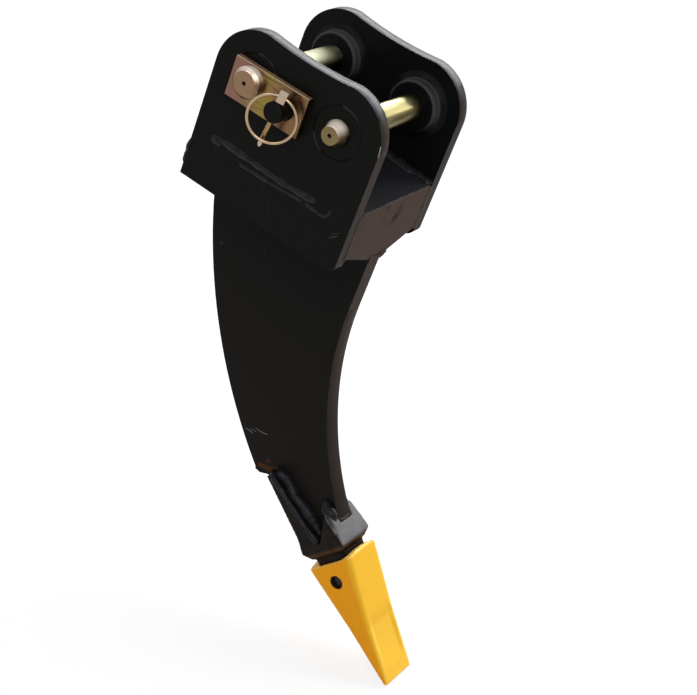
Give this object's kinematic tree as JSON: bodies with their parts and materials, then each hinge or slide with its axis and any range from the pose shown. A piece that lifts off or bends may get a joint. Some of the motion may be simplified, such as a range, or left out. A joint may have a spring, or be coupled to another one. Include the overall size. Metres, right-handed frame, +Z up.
{
  "type": "ripper shank tooth",
  "caption": "Curved ripper shank hung from two ear plates with flag-locked pins, with a cast adapter welded over its end and a pinned wedge tooth, for a mini excavator's arm.",
  "frame": {"origin": "middle of the arm pin's axis, halfway between the ears", "axes": "+X forward, the way the tooth points; +Y along the arm pin to the left ear; +Z up, square to the deck"},
  "size_m": [0.456, 0.2532, 0.6783],
  "materials": {
    "black_paint": "satin",
    "painted_weld": "satin",
    "painted_casting": "matte",
    "yellow_paint": "satin",
    "yellow_zinc": "passivated",
    "gold_zinc": "passivated",
    "bare_steel": "matte",
    "spring_steel": "matte"
  },
  "bodies": {
    "ripper": {"right_ear": "black_paint", "left_ear": "black_paint", "right_link_boss": "black_paint", "right_arm_boss": "black_paint", "left_link_boss": "black_paint", "left_arm_boss": "black_paint", "deck_plate": "black_paint", "front_plate": "black_paint", "rear_plate": "black_paint", "shank": "black_paint", "link_lock_post": "black_paint", "arm_lock_post": "black_paint", "boss_welds": "painted_weld", "slot_welds": "painted_weld", "deck_welds": "painted_weld", "seam_welds": "painted_weld", "notch_welds": "painted_weld", "adapter_welds": "painted_weld", "adapter": "painted_casting", "tooth": "yellow_paint", "tooth_lock_pin": "bare_steel", "tooth_retainer": "spring_steel", "link_pin": "yellow_zinc", "arm_pin": "yellow_zinc", "link_pin_flag": "gold_zinc", "arm_pin_flag": "gold_zinc", "link_linch_pin": "gold_zinc", "arm_linch_pin": "gold_zinc"},
    "link_ring": {"link_linch_ring": "gold_zinc"},
    "arm_ring": {"arm_linch_ring": "gold_zinc"}
  },
  "joints": [
    {"name": "link_ring_hinge", "type": "hinge", "parent": "ripper", "child": "link_ring", "pos_m": [-0.06175, -0.1123, 0.01236], "axis": [-0.9203, -0.3746, 0.113], "range_deg": [0, 165]},
    {"name": "arm_ring_hinge", "type": "hinge", "parent": "ripper", "child": "arm_ring", "pos_m": [-0.05026, 0.1123, 0.01236], "axis": [0.9203, 0.3746, 0.113], "range_deg": [0, 165]}
  ]
}
